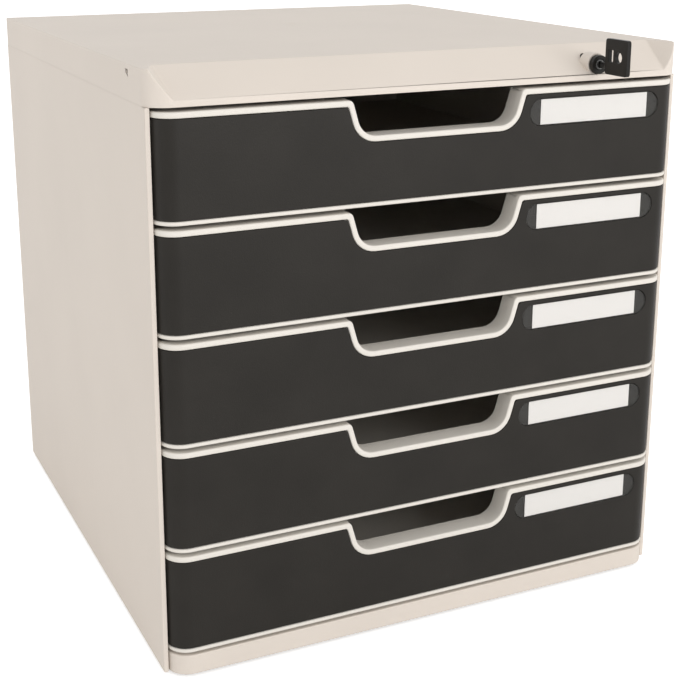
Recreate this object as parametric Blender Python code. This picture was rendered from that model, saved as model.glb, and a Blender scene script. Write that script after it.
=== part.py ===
"""Desktop file drawer: a five-drawer plastic cabinet with a lock, built from its separate pieces.

Lengths are in metres, +Z is up and the drawers open towards -Y.
Inside the script Y is counted from the plane of the drawer fronts, and Z from the table.
One empty moves the whole cabinet so that its bounding box is centred over the world origin.
"""

import math

import bmesh
import bpy
from mathutils import Matrix, Vector

# Cabinet
WIDTH = 0.320
DEPTH = 0.337
WALL = 0.0027
FIT_GAP = 0.0003
CUT_OVERRUN = 0.002
JOIN_OVERLAP = 0.001
FOOT_STANDOFF = 0.002
BASE_BAND = 0.0115
BASE_POST = 0.022
BASE_FRONT_GAP = 0.0016
SHELL_SETBACK = 0.008

# Drawer fronts
DRAWER_COUNT = 5
FRONT_HEIGHT = 0.0568
FRONT_GAP = 0.0024
FRONT_CORNER_RADIUS = 0.012
FRONT_DEPTH = 0.012
TOP_RIM = 0.0032
BOTTOM_RIM = 0.0022
PANEL_INSET = 0.00035
PANEL_THICKNESS = 0.0024
FRONT_WALL = 0.002
CORNER_STEPS = 8

# Finger notch
NOTCH_TOP_WIDTH = 0.111
NOTCH_BASE_WIDTH = 0.098
NOTCH_DEPTH = 0.0223
NOTCH_LIP = 0.0032
NOTCH_CORNER_RADIUS = 0.014
NOTCH_MOUTH_RADIUS = 0.003
NOTCH_STEPS = 7
NOTCH_MOUTH_STEPS = 4

# Tray
TRAY_SIDE_CLEARANCE = 0.0103
TRAY_WALL = 0.002
TRAY_LIFT = 0.001
TRAY_TOP_DROP = 0.0042
TRAY_REAR_CLEARANCE = 0.005
FLANGE_REACH = 0.0056
FLANGE_THICKNESS = 0.0022
STOP_LUG_REACH = 0.0023
STOP_LUG_LENGTH = 0.008
DRAWER_TRAVEL = 0.245

# Runners on the side panels
LEDGE_THICKNESS = 0.0025
LEDGE_TRAY_GAP = 0.0012
UPPER_RIB_THICKNESS = 0.0015
UPPER_RIB_TRAY_GAP = 0.003
UPPER_RIB_CLEARANCE = 0.0005
RUNNER_SETBACK = 0.002
RUNNER_REAR_CLEARANCE = 0.003
STOP_POST_LENGTH = 0.004
STOP_POST_GAP = 0.0008

# Top cover
COVER_GAP = 0.0021
COVER_HEIGHT = 0.0185
COVER_SETBACK = 0.0015
COVER_LIP = 0.0032
COVER_CORNER_RADIUS = 0.013
COVER_CHEEK_WIDTH = 0.009
COVER_CHEEK_STEPS = 5
COVER_HOLLOW_CORNER = 0.008
COVER_HOLLOW_RIDGE_CORNER = 0.001
SLOPE_RUN = 0.0236
SLOPE_STEPS = 4
COVER_TAB_LENGTH = 0.024
COVER_TAB_HEIGHT = 0.007
COVER_TAB_THICKNESS = 0.002
COVER_TAB_SHARES = (0.2, 0.5, 0.8)
PIN_HOLE_RADIUS = 0.00125
PIN_HOLE_SETBACK = 0.036
PIN_HOLE_DROP = 0.004
PIN_HOLE_STEPS = 12

# Label
LABEL_NOTCH_GAP = 0.0011
LABEL_EDGE_GAP = 0.0139
LABEL_WINDOW_HEIGHT = 0.0148
LABEL_WINDOW_THICKNESS = 0.0006
LABEL_CARD_END_GAP = 0.0074
LABEL_CARD_SIDE_GAP = 0.0004
LABEL_CARD_THICKNESS = 0.0003
LABEL_DROP = 0.0026
LABEL_STEPS = 8

# Feet
FOOT_RADIUS = 0.008
FOOT_STEM_RADIUS = 0.003
FOOT_STEM_LENGTH = 0.004
FOOT_STEPS = 16

# Lock
LOCK_EDGE_DISTANCE = 0.0586
LOCK_RISE = 0.0088
LOCK_STEPS = 20
LOCK_FACE_SETBACK = 0.0002
LOCK_FLANGE_RADIUS = 0.0052
LOCK_FLANGE_LENGTH = 0.0034
LOCK_BARREL_RADIUS = 0.0043
LOCK_BARREL_LENGTH = 0.0269
LOCK_BORE_RADIUS = 0.0031
LOCK_CORE_RADIUS = 0.0028
LOCK_BOSS_WIDTH = 0.017
LOCK_BOSS_DEPTH = 0.0236
LOCK_COLLAR_WALL = 0.001
LOCK_COLLAR_DEPTH = 0.012
LOCK_NUT_FLAT_RADIUS = 0.0055
LOCK_NUT_LENGTH = 0.0024
LOCK_NUT_SIDES = 6

# Key
KEY_BLADE_THICKNESS = 0.0012
KEY_BLADE_HEIGHT = 0.0034
KEY_BLADE_DEPTH = 0.0125
KEY_STEM_LENGTH = 0.0056
KEY_SEAT_DEPTH = 0.0029
KEY_HEAD_THICKNESS = 0.0026
KEY_HEAD_LENGTH = 0.0195
KEY_HEAD_ABOVE = 0.0153
KEY_HEAD_BELOW = 0.0044
KEY_HEAD_CORNER_RADIUS = 0.0016
KEY_HEAD_CORNER_STEPS = 3
KEY_SLOT_SETBACK = 0.0029
KEY_SLOT_WIDTH = 0.0041
KEY_SLOT_LOW = 0.0026
KEY_SLOT_HIGH = 0.0092
KEY_RING_RADIUS = 0.0031
KEY_RING_SETBACK = 0.0118
KEY_RING_RISE = 0.0055
KEY_RING_STEPS = 12

# Lock cam
CAM_RADIUS = 0.004
CAM_REST_ANGLE = math.radians(-45)
CAM_THICKNESS = 0.0015
CAM_RIM = 0.0016
CAM_HUB_RADIUS = 0.0032
CAM_PIN_RADIUS = 0.0012
CAM_PIN_REACH = 0.0044
CAM_STEPS = 16
CAM_SCREW_SHANK_RADIUS = 0.001
CAM_SCREW_SHANK_DEPTH = 0.004
CAM_SCREW_HEAD_RADIUS = 0.0025
CAM_SCREW_HEAD_HEIGHT = 0.0012

# Lock bar
BAR_THICKNESS = 0.0015
BAR_WIDTH = 0.010
BAR_SIDE_GAP = 0.0004
BAR_BEHIND_CAM = 0.0022
BAR_ARM_HEIGHT = 0.0065
BAR_SLOT_PLAY = 0.00035
BAR_SLOT_END_WALL = 0.002
BAR_FOOT_OVERHANG = 0.004
HOOK_TRAY_GAP = 0.0016
HOOK_LENGTH = 0.004
HOOK_HEIGHT = 0.0045
HOOK_SETBACK = 0.001
HOOK_LUG_GAP = 0.001
LUG_FLANGE_GAP = 0.0083
LUG_HEIGHT = 0.0045
LUG_LENGTH = 0.006
LUG_REACH = 0.0046
LUG_PLAY = 0.0012
GUIDE_HOOK_GAP = 0.0065
GUIDE_HEIGHT = 0.010
GUIDE_PLATE = 0.0012
GUIDE_LEG = 0.0035

# Places that follow from the sizes
HALF_WIDTH = WIDTH / 2
PITCH = FRONT_HEIGHT + FRONT_GAP
BASE_TOP_Z = FOOT_STANDOFF + BASE_BAND
FIRST_FRONT_Z = BASE_TOP_Z + BASE_FRONT_GAP
TOP_FRONT_Z = FIRST_FRONT_Z + (DRAWER_COUNT - 1) * PITCH
COVER_Z = TOP_FRONT_Z + FRONT_HEIGHT + COVER_GAP
COVER_TOP_Z = COVER_Z + COVER_HEIGHT
PANEL_INNER_X = HALF_WIDTH - WALL
FRONT_HALF_WIDTH = PANEL_INNER_X - FIT_GAP
PANEL_TOP_Z = COVER_Z - FIT_GAP
BACK_INNER_Y = DEPTH - WALL
TRAY_SIDE_X = PANEL_INNER_X - TRAY_SIDE_CLEARANCE
TRAY_FRONT_Y = FRONT_DEPTH + JOIN_OVERLAP
TRAY_REAR_Y = BACK_INNER_Y - TRAY_REAR_CLEARANCE
TRAY_TOP = FRONT_HEIGHT - TRAY_TOP_DROP
FLANGE_BOTTOM = TRAY_TOP - FLANGE_THICKNESS
FLANGE_X = TRAY_SIDE_X + FLANGE_REACH
LUG_X = FLANGE_X + STOP_LUG_REACH
LEDGE_TOP = FLANGE_BOTTOM - FIT_GAP
RUNNER_FRONT_Y = FRONT_DEPTH + RUNNER_SETBACK
RUNNER_REAR_Y = BACK_INNER_Y - RUNNER_REAR_CLEARANCE
STOP_POST_FRONT_Y = FRONT_DEPTH + FIT_GAP
STOP_POST_REAR_Y = STOP_POST_FRONT_Y + STOP_POST_LENGTH
STOP_LUG_FRONT_Y = STOP_POST_REAR_Y + DRAWER_TRAVEL + FIT_GAP
PANEL_LOW = BOTTOM_RIM + FIT_GAP
PANEL_HIGH = FRONT_HEIGHT - TOP_RIM - FIT_GAP
PANEL_BACK_INSET = PANEL_INSET + PANEL_THICKNESS
WALL_INSET = PANEL_BACK_INSET + FIT_GAP
LABEL_LOW_X = NOTCH_TOP_WIDTH / 2 + LABEL_NOTCH_GAP
LABEL_HIGH_X = FRONT_HALF_WIDTH - LABEL_EDGE_GAP
LABEL_CENTRE_X = (LABEL_LOW_X + LABEL_HIGH_X) / 2
LABEL_WINDOW_LENGTH = LABEL_HIGH_X - LABEL_LOW_X
LABEL_CARD_LENGTH = LABEL_WINDOW_LENGTH - 2 * LABEL_CARD_END_GAP
LABEL_CENTRE_Z = PANEL_HIGH - LABEL_DROP - LABEL_WINDOW_HEIGHT / 2
LOCK_X = HALF_WIDTH - LOCK_EDGE_DISTANCE
LOCK_Z = COVER_Z + LOCK_RISE
LOCK_CORE_END_Y = LOCK_FACE_SETBACK + LOCK_BARREL_LENGTH + FIT_GAP
CAM_Y = LOCK_CORE_END_Y + FIT_GAP
CAM_REAR_Y = CAM_Y + CAM_THICKNESS
BAR_Y = CAM_REAR_Y + BAR_BEHIND_CAM
BAR_REAR_Y = BAR_Y + BAR_WIDTH
BAR_OUTER_X = PANEL_INNER_X - BAR_SIDE_GAP
BAR_INNER_X = BAR_OUTER_X - BAR_THICKNESS
HOOK_REAR_Y = BAR_Y + HOOK_SETBACK + HOOK_LENGTH
LUG_LOW = FLANGE_BOTTOM - LUG_FLANGE_GAP - LUG_HEIGHT
HOOK_HIGH = LUG_LOW - HOOK_LUG_GAP
GUIDE_RISE = HOOK_HIGH - HOOK_HEIGHT - GUIDE_HOOK_GAP - GUIDE_HEIGHT
BAR_FOOT_RISE = GUIDE_RISE - BAR_FOOT_OVERHANG
KEY_HEAD_REAR_Y = -KEY_STEM_LENGTH
KEY_REACH = KEY_STEM_LENGTH + KEY_HEAD_LENGTH
FRONT_PLANE_Y = (KEY_REACH - DEPTH) / 2


def clear_scene():
    for item in list(bpy.data.objects):
        bpy.data.objects.remove(item, do_unlink=True)


def material(name, color, roughness, metallic=0.0, alpha=1.0):
    made = bpy.data.materials.new(name)
    made.use_nodes = True
    shader = made.node_tree.nodes["Principled BSDF"]
    shader.inputs["Base Color"].default_value = (*color, 1.0)
    shader.inputs["Roughness"].default_value = roughness
    shader.inputs["Metallic"].default_value = metallic
    shader.inputs["Alpha"].default_value = alpha
    return made


def add_object(name, mesh, look=None, parent=None):
    made = bpy.data.objects.new(name, mesh)
    bpy.context.scene.collection.objects.link(made)
    if look is not None and not mesh.materials:
        mesh.materials.append(look)
    made.parent = parent
    return made


def to_mesh(shape, name):
    bmesh.ops.recalc_face_normals(shape, faces=shape.faces)
    mesh = bpy.data.meshes.new(name)
    shape.to_mesh(mesh)
    shape.free()
    return mesh


def add_box(shape, low, high):
    size = Vector(high) - Vector(low)
    centre = (Vector(high) + Vector(low)) / 2
    place = Matrix.Translation(centre) @ Matrix.Diagonal((*size, 1.0))
    bmesh.ops.create_cube(shape, size=1.0, matrix=place)


def boxes(name, pairs):
    shape = bmesh.new()
    for low, high in pairs:
        add_box(shape, low, high)
    return to_mesh(shape, name)


def prism(name, outline, low, high, axis):
    """A closed outline of point pairs, extruded along the axis from low to high."""
    shape = bmesh.new()
    order = {"X": lambda a, b, h: (h, a, b), "Y": lambda a, b, h: (a, h, b), "Z": lambda a, b, h: (a, b, h)}
    corners = [shape.verts.new(order[axis](a, b, low)) for a, b in outline]
    face = shape.faces.new(corners)
    pushed = bmesh.ops.extrude_face_region(shape, geom=[face])
    moved = [item for item in pushed["geom"] if isinstance(item, bmesh.types.BMVert)]
    step = Vector(order[axis](0, 0, high - low))
    bmesh.ops.translate(shape, verts=moved, vec=step)
    return to_mesh(shape, name)


def arc(centre, radius, start, end, steps):
    points = []
    for index in range(steps + 1):
        angle = start + (end - start) * index / steps
        points.append((centre[0] + radius * math.cos(angle), centre[1] + radius * math.sin(angle)))
    return points


def circle(centre, radius, steps):
    return arc(centre, radius, 0, 2 * math.pi * (steps - 1) / steps, steps - 1)


def rounded_corner(corner, before, after, radius, steps):
    """Points of an arc that rounds the corner between the two neighbouring points."""
    corner, before, after = Vector(corner), Vector(before), Vector(after)
    to_before = (before - corner).normalized()
    to_after = (after - corner).normalized()
    half = to_before.angle(to_after) / 2
    centre = corner + (to_before + to_after).normalized() * radius / math.sin(half)
    tangent = radius / math.tan(half)
    first = corner + to_before * tangent - centre
    last = corner + to_after * tangent - centre
    start = math.atan2(first.y, first.x)
    sweep = (math.atan2(last.y, last.x) - start + math.pi) % (2 * math.pi) - math.pi
    return arc(centre, radius, start, start + sweep, steps)


def turned(name, profile, steps):
    """A ring or a disc about Y: the profile is a closed list of radius and y pairs."""
    shape = bmesh.new()
    rings = []
    for radius, y in profile:
        if radius == 0:
            rings.append([shape.verts.new((0, y, 0))])
        else:
            rings.append([shape.verts.new((x, y, z)) for x, z in circle((0, 0), radius, steps)])
    for index, ring in enumerate(rings):
        following = rings[(index + 1) % len(rings)]
        if len(ring) == 1 and len(following) == 1:
            continue
        for step in range(steps):
            nearby = (step + 1) % steps
            if len(ring) == 1:
                shape.faces.new((ring[0], following[nearby], following[step]))
            elif len(following) == 1:
                shape.faces.new((ring[step], ring[nearby], following[0]))
            else:
                shape.faces.new((ring[step], ring[nearby], following[nearby], following[step]))
    return to_mesh(shape, name)


def combined(mesh, cutter_mesh, operation):
    """The mesh after one Boolean with the other mesh, which is used up."""
    target = add_object("boolean_target", mesh)
    cutter = add_object("boolean_cutter", cutter_mesh)
    modifier = target.modifiers.new("boolean", "BOOLEAN")
    modifier.operation = operation
    modifier.solver = "EXACT"
    modifier.object = cutter
    bpy.context.view_layer.update()
    evaluated = target.evaluated_get(bpy.context.evaluated_depsgraph_get())
    result = bpy.data.meshes.new_from_object(evaluated)
    result.name = mesh.name
    bpy.data.objects.remove(target, do_unlink=True)
    bpy.data.objects.remove(cutter, do_unlink=True)
    bpy.data.meshes.remove(cutter_mesh)
    return result


def joined(mesh, *others):
    for other in others:
        mesh = combined(mesh, other, "UNION")
    return mesh


def cut(mesh, *cutters):
    for cutter in cutters:
        mesh = combined(mesh, cutter, "DIFFERENCE")
    return mesh


def front_outline(inset):
    """Plan of the drawer fronts seen from above, moved inwards by the inset, without its rear edge."""
    radius = FRONT_CORNER_RADIUS - inset
    centre_x = FRONT_HALF_WIDTH - FRONT_CORNER_RADIUS
    left = arc((-centre_x, FRONT_CORNER_RADIUS), radius, math.pi, 1.5 * math.pi, CORNER_STEPS)
    right = arc((centre_x, FRONT_CORNER_RADIUS), radius, 1.5 * math.pi, 2 * math.pi, CORNER_STEPS)
    return left + right


def front_channel(name, outer_inset, inner_inset, low, high):
    """A wall that follows the front and both rounded corners."""
    outline = front_outline(outer_inset) + list(reversed(front_outline(inner_inset)))
    return prism(name, outline, low, high, "Z")


def notch_outline(grow, high, mouth_z=None):
    """The finger notch seen from the front, grown by an offset and open at the top.

    Where mouth_z is given, the mouth is rounded outwards up to that height.
    """
    lean = (NOTCH_TOP_WIDTH - NOTCH_BASE_WIDTH) / 2 / NOTCH_DEPTH
    side_grow = grow * math.hypot(1, lean) - grow * lean
    base_z = FRONT_HEIGHT - NOTCH_DEPTH + NOTCH_LIP - grow
    opening_depth = NOTCH_DEPTH - NOTCH_LIP
    base_half = NOTCH_BASE_WIDTH / 2 - NOTCH_LIP + side_grow
    top_half = base_half + lean * (high - base_z)
    radius = NOTCH_CORNER_RADIUS - NOTCH_LIP + grow
    radius = min(radius, opening_depth)
    left = rounded_corner((-base_half, base_z), (-top_half, high), (base_half, base_z), radius, NOTCH_STEPS)
    right = rounded_corner((base_half, base_z), (-base_half, base_z), (top_half, high), radius, NOTCH_STEPS)
    if mouth_z is None:
        return [(-top_half, high)] + left + right + [(top_half, high)]
    mouth_half = base_half + lean * (mouth_z - base_z)
    mouth = rounded_corner((mouth_half, mouth_z), (base_half, base_z), (2 * mouth_half, mouth_z),
                           NOTCH_MOUTH_RADIUS, NOTCH_MOUTH_STEPS)
    mouth.append((mouth[-1][0], high))
    return [(-x, z) for x, z in reversed(mouth)] + left + right + mouth


def pill(centre, length, height, steps):
    reach = (length - height) / 2
    right = arc((centre[0] + reach, centre[1]), height / 2, -math.pi / 2, math.pi / 2, steps)
    left = arc((centre[0] - reach, centre[1]), height / 2, math.pi / 2, 1.5 * math.pi, steps)
    return right + left


def tray_mesh():
    mesh = boxes("tray", [((-TRAY_SIDE_X, FRONT_DEPTH - JOIN_OVERLAP, TRAY_LIFT),
                           (TRAY_SIDE_X, TRAY_REAR_Y, TRAY_TOP))])
    inside = boxes("tray_inside", [((-TRAY_SIDE_X + TRAY_WALL, TRAY_FRONT_Y, TRAY_LIFT + TRAY_WALL),
                                    (TRAY_SIDE_X - TRAY_WALL, TRAY_REAR_Y - TRAY_WALL, FRONT_HEIGHT))])
    mesh = cut(mesh, inside)
    half = TRAY_SIDE_X - JOIN_OVERLAP
    inner_wall = boxes("inner_wall", [((-half, FRONT_DEPTH - JOIN_OVERLAP / 2, TRAY_WALL),
                                       (half, TRAY_FRONT_Y, FRONT_HEIGHT - TOP_RIM / 2))])
    outer_wall = front_channel("outer_wall", WALL_INSET, WALL_INSET + FRONT_WALL, BOTTOM_RIM / 2,
                               FRONT_HEIGHT - TOP_RIM / 2)
    lower_rim = front_channel("lower_rim", 0, WALL_INSET + FRONT_WALL / 2, 0, BOTTOM_RIM)
    top_rim = prism("top_rim", front_outline(0), FRONT_HEIGHT - TOP_RIM, FRONT_HEIGHT, "Z")
    channel = prism("notch_channel", notch_outline(NOTCH_LIP, FRONT_HEIGHT - TOP_RIM / 2), 0,
                    FRONT_DEPTH - JOIN_OVERLAP / 4, "Y")
    mesh = joined(mesh, inner_wall, top_rim, outer_wall, lower_rim, channel)
    notch = prism("notch", notch_outline(0, FRONT_HEIGHT + CUT_OVERRUN, FRONT_HEIGHT + FIT_GAP / 4),
                  -CUT_OVERRUN, TRAY_FRONT_Y + CUT_OVERRUN, "Y")
    mesh = cut(mesh, notch)
    return joined(mesh, boxes("flanges", tray_flange_boxes()), boxes("lugs", tray_lug_boxes()))


def tray_flange_boxes():
    pairs = []
    for side in (-1, 1):
        low_x, high_x = sorted((side * (TRAY_SIDE_X - JOIN_OVERLAP), side * FLANGE_X))
        pairs.append(((low_x, FRONT_DEPTH - JOIN_OVERLAP, FLANGE_BOTTOM),
                      (high_x, TRAY_REAR_Y - FIT_GAP, TRAY_TOP)))
    return pairs


def tray_lug_boxes():
    """A stop lug on each flange, and below the right one the lug that the lock bar holds."""
    pairs = []
    for side in (-1, 1):
        low_x, high_x = sorted((side * (FLANGE_X - JOIN_OVERLAP), side * LUG_X))
        pairs.append(((low_x, STOP_LUG_FRONT_Y, FLANGE_BOTTOM + FIT_GAP),
                      (high_x, STOP_LUG_FRONT_Y + STOP_LUG_LENGTH, TRAY_TOP - FIT_GAP)))
    lug_y = HOOK_REAR_Y + LUG_PLAY
    pairs.append(((TRAY_SIDE_X - JOIN_OVERLAP, lug_y, LUG_LOW),
                  (TRAY_SIDE_X + LUG_REACH, lug_y + LUG_LENGTH, LUG_LOW + LUG_HEIGHT)))
    return pairs


def front_panel_mesh():
    mesh = front_channel("front_panel", PANEL_INSET, PANEL_BACK_INSET, PANEL_LOW, PANEL_HIGH)
    notch = prism("panel_notch", notch_outline(NOTCH_LIP + FIT_GAP, FRONT_HEIGHT, PANEL_HIGH + FIT_GAP / 4),
                  -CUT_OVERRUN, FRONT_DEPTH, "Y")
    pocket_depth = LABEL_WINDOW_THICKNESS + LABEL_CARD_THICKNESS + 2 * FIT_GAP
    pocket = prism("label_pocket", pill((LABEL_CENTRE_X, LABEL_CENTRE_Z), LABEL_WINDOW_LENGTH + 2 * FIT_GAP,
                                        LABEL_WINDOW_HEIGHT + 2 * FIT_GAP, LABEL_STEPS),
                   -CUT_OVERRUN, PANEL_INSET + pocket_depth, "Y")
    return cut(mesh, notch, pocket)


def label_window_mesh():
    outline = pill((LABEL_CENTRE_X, LABEL_CENTRE_Z), LABEL_WINDOW_LENGTH, LABEL_WINDOW_HEIGHT, LABEL_STEPS)
    return prism("label_window", outline, PANEL_INSET, PANEL_INSET + LABEL_WINDOW_THICKNESS, "Y")


def label_card_mesh():
    front = PANEL_INSET + LABEL_WINDOW_THICKNESS + FIT_GAP
    half_length = LABEL_CARD_LENGTH / 2
    half_height = LABEL_WINDOW_HEIGHT / 2 - LABEL_CARD_SIDE_GAP
    return boxes("label_card", [((LABEL_CENTRE_X - half_length, front, LABEL_CENTRE_Z - half_height),
                                 (LABEL_CENTRE_X + half_length, front + LABEL_CARD_THICKNESS,
                                  LABEL_CENTRE_Z + half_height))])


def add_drawers(cabinet, looks):
    pieces = (("tray", tray_mesh(), looks["shell"]), ("front_panel", front_panel_mesh(), looks["black"]),
              ("label_window", label_window_mesh(), looks["clear"]),
              ("label_card", label_card_mesh(), looks["card"]))
    for index in range(DRAWER_COUNT):
        slide = bpy.data.objects.new(f"drawer_{index + 1}_slide", None)
        bpy.context.scene.collection.objects.link(slide)
        slide.parent = cabinet
        slide.location.z = TOP_FRONT_Z - index * PITCH
        for name, mesh, look in pieces:
            add_object(f"{name}_{index + 1}", mesh, look, slide)


def runner_boxes(side, spans):
    """Ledges and upper ribs of one side panel, along the given spans of Y, and its stop posts."""
    root_x = side * (PANEL_INNER_X + JOIN_OVERLAP)
    ribs = []
    posts = []
    for index in range(DRAWER_COUNT):
        front_z = FIRST_FRONT_Z + index * PITCH
        ledge_high = front_z + LEDGE_TOP
        rib_low = front_z + TRAY_TOP + UPPER_RIB_CLEARANCE
        for tray_gap, low, high in ((LEDGE_TRAY_GAP, ledge_high - LEDGE_THICKNESS, ledge_high),
                                    (UPPER_RIB_TRAY_GAP, rib_low, rib_low + UPPER_RIB_THICKNESS)):
            low_x, high_x = sorted((root_x, side * (TRAY_SIDE_X + tray_gap)))
            for start, end in spans:
                ribs.append(((low_x, start, low), (high_x, end, high)))
        low_x, high_x = sorted((root_x, side * (FLANGE_X + STOP_POST_GAP)))
        posts.append(((low_x, STOP_POST_FRONT_Y, ledge_high - JOIN_OVERLAP),
                      (high_x, STOP_POST_REAR_Y, rib_low + JOIN_OVERLAP)))
    return ribs, posts


def side_panel_mesh(side, spans):
    low_x, high_x = sorted((side * PANEL_INNER_X, side * HALF_WIDTH))
    mesh = boxes("side_panel", [((low_x, SHELL_SETBACK, FOOT_STANDOFF), (high_x, DEPTH, PANEL_TOP_Z))])
    ribs, posts = runner_boxes(side, spans)
    tab_high_x = side * (PANEL_INNER_X - FIT_GAP)
    tab_low_x, tab_high_x = sorted((tab_high_x, tab_high_x - side * COVER_TAB_THICKNESS))
    stem_low_x, stem_high_x = sorted((side * (PANEL_INNER_X + JOIN_OVERLAP),
                                      side * (PANEL_INNER_X - FIT_GAP - COVER_TAB_THICKNESS)))
    tabs = []
    stems = []
    for share in COVER_TAB_SHARES:
        start = DEPTH * share - COVER_TAB_LENGTH / 2
        tabs.append(((tab_low_x, start, PANEL_TOP_Z - COVER_TAB_THICKNESS / 2),
                     (tab_high_x, start + COVER_TAB_LENGTH, PANEL_TOP_Z + COVER_TAB_HEIGHT)))
        stems.append(((stem_low_x, start, PANEL_TOP_Z - 2 * COVER_TAB_THICKNESS),
                      (stem_high_x, start + COVER_TAB_LENGTH, PANEL_TOP_Z - COVER_TAB_THICKNESS / 4)))
    mesh = joined(mesh, boxes("ribs", ribs), boxes("posts", posts))
    return joined(mesh, boxes("stems", stems), boxes("tabs", tabs))


def base_outline(inset):
    """Plan of the base, moved inwards by the inset. Its front follows the drawer fronts above it."""
    half = FRONT_HALF_WIDTH - inset
    rear = BACK_INNER_Y - FIT_GAP - inset
    centre_x = FRONT_HALF_WIDTH - FRONT_CORNER_RADIUS
    radius = FRONT_CORNER_RADIUS - inset
    left = arc((-centre_x, FRONT_CORNER_RADIUS), radius, math.pi, 1.5 * math.pi, CORNER_STEPS)
    right = arc((centre_x, FRONT_CORNER_RADIUS), radius, 1.5 * math.pi, 2 * math.pi, CORNER_STEPS)
    return left + right + [(half, rear), (-half, rear)]


def base_mesh():
    mesh = prism("base", base_outline(0), FOOT_STANDOFF, BASE_TOP_Z, "Z")
    hollow = prism("hollow", base_outline(WALL), FOOT_STANDOFF - CUT_OVERRUN, BASE_TOP_Z - WALL, "Z")
    posts = []
    for x, y in foot_places():
        posts.append(((x - BASE_POST / 2, y - BASE_POST / 2, FOOT_STANDOFF - 2 * CUT_OVERRUN),
                      (x + BASE_POST / 2, y + BASE_POST / 2, BASE_TOP_Z)))
    hollow = cut(hollow, boxes("posts", posts))
    mesh = cut(mesh, hollow)
    for x, y in foot_places():
        outline = circle((x, y), FOOT_STEM_RADIUS + FIT_GAP, FOOT_STEPS)
        mesh = cut(mesh, prism("stem_hole", outline, FOOT_STANDOFF - CUT_OVERRUN,
                               FOOT_STANDOFF + FOOT_STEM_LENGTH + FIT_GAP, "Z"))
    return mesh


def foot_places():
    half = FRONT_HALF_WIDTH - BASE_POST / 2
    front = SHELL_SETBACK + BASE_POST / 2
    rear = BACK_INNER_Y - FIT_GAP - BASE_POST / 2
    return [(x, y) for y in (front, rear) for x in (-half, half)]


def foot_mesh():
    pad = prism("foot", circle((0, 0), FOOT_RADIUS, FOOT_STEPS), 0, FOOT_STANDOFF - FIT_GAP, "Z")
    stem = prism("stem", circle((0, 0), FOOT_STEM_RADIUS, FOOT_STEPS), FOOT_STANDOFF / 2,
                 FOOT_STANDOFF + FOOT_STEM_LENGTH, "Z")
    return joined(pad, stem)


def cover_outline(inset, front_y, radius):
    """Plan of the top cover at one height, moved inwards by the inset."""
    centre_x = HALF_WIDTH - inset - radius
    centre_y = front_y + radius
    left = arc((-centre_x, centre_y), radius, math.pi, 1.5 * math.pi, CORNER_STEPS)
    right = arc((centre_x, centre_y), radius, 1.5 * math.pi, 2 * math.pi, CORNER_STEPS)
    return left + right + [(HALF_WIDTH - inset, DEPTH - inset), (-HALF_WIDTH + inset, DEPTH - inset)]


def cover_hollow_mesh():
    """The space inside the cover: its slope runs from side to side, with corners tighter at the ridge."""
    rise = COVER_HEIGHT - COVER_LIP
    lean = SLOPE_RUN / rise
    lip_z = COVER_Z + COVER_LIP - WALL * (math.hypot(1, lean) - 1) / lean
    levels = [COVER_Z - CUT_OVERRUN]
    levels += [lip_z + (COVER_TOP_Z - WALL - lip_z) * step / SLOPE_STEPS for step in range(SLOPE_STEPS + 1)]
    shape = bmesh.new()
    rings = []
    for z in levels:
        climb = max(z - lip_z, 0)
        tighter = (COVER_HOLLOW_CORNER - COVER_HOLLOW_RIDGE_CORNER) * min(climb / rise, 1)
        front_y = COVER_SETBACK + WALL + climb * lean
        outline = cover_outline(WALL, front_y, COVER_HOLLOW_CORNER - tighter)
        rings.append([shape.verts.new((x, y, z)) for x, y in outline])
    shape.faces.new(rings[0])
    shape.faces.new(rings[-1])
    for lower, upper in zip(rings, rings[1:]):
        for index in range(len(lower)):
            following = (index + 1) % len(lower)
            shape.faces.new((lower[index], lower[following], upper[following], upper[index]))
    return to_mesh(shape, "cover_hollow")


def cover_block_mesh():
    """The cover's outside: upright rounded corners, and a slope that runs out into a cheek at each end."""
    radius = COVER_CORNER_RADIUS
    lip_z = COVER_Z + COVER_LIP
    corner = arc((HALF_WIDTH - radius, COVER_SETBACK + radius), radius, 1.5 * math.pi, 2 * math.pi,
                 CORNER_STEPS)
    run_out = Vector(corner[COVER_CHEEK_STEPS])
    ridge_end = Vector((HALF_WIDTH - COVER_CHEEK_WIDTH, COVER_SETBACK + SLOPE_RUN))
    right = []
    for index, (x, y) in enumerate(corner):
        share = min(index / COVER_CHEEK_STEPS, 1)
        ridge = ridge_end.lerp(run_out, share) if share < 1 else None
        right.append((x, y, lip_z + share * (COVER_TOP_Z - lip_z), ridge))
    left = [(-x, y, z, ridge and Vector((-ridge.x, ridge.y))) for x, y, z, ridge in reversed(right)]
    rear = [(HALF_WIDTH, DEPTH, COVER_TOP_Z, None), (-HALF_WIDTH, DEPTH, COVER_TOP_Z, None)]
    shape = bmesh.new()
    lower, upper, inner = [], [], []
    for x, y, z, ridge in left + right + rear:
        lower.append(shape.verts.new((x, y, COVER_Z)))
        upper.append(shape.verts.new((x, y, z)))
        inner.append(upper[-1] if ridge is None else shape.verts.new((ridge.x, ridge.y, COVER_TOP_Z)))
    shape.faces.new(lower)
    shape.faces.new(inner)
    for index in range(len(lower)):
        following = (index + 1) % len(lower)
        shape.faces.new((lower[index], lower[following], upper[following], upper[index]))
        slope = list(dict.fromkeys((upper[index], upper[following], inner[following], inner[index])))
        if len(slope) > 2:
            shape.faces.new(slope)
    return to_mesh(shape, "cover")


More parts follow.
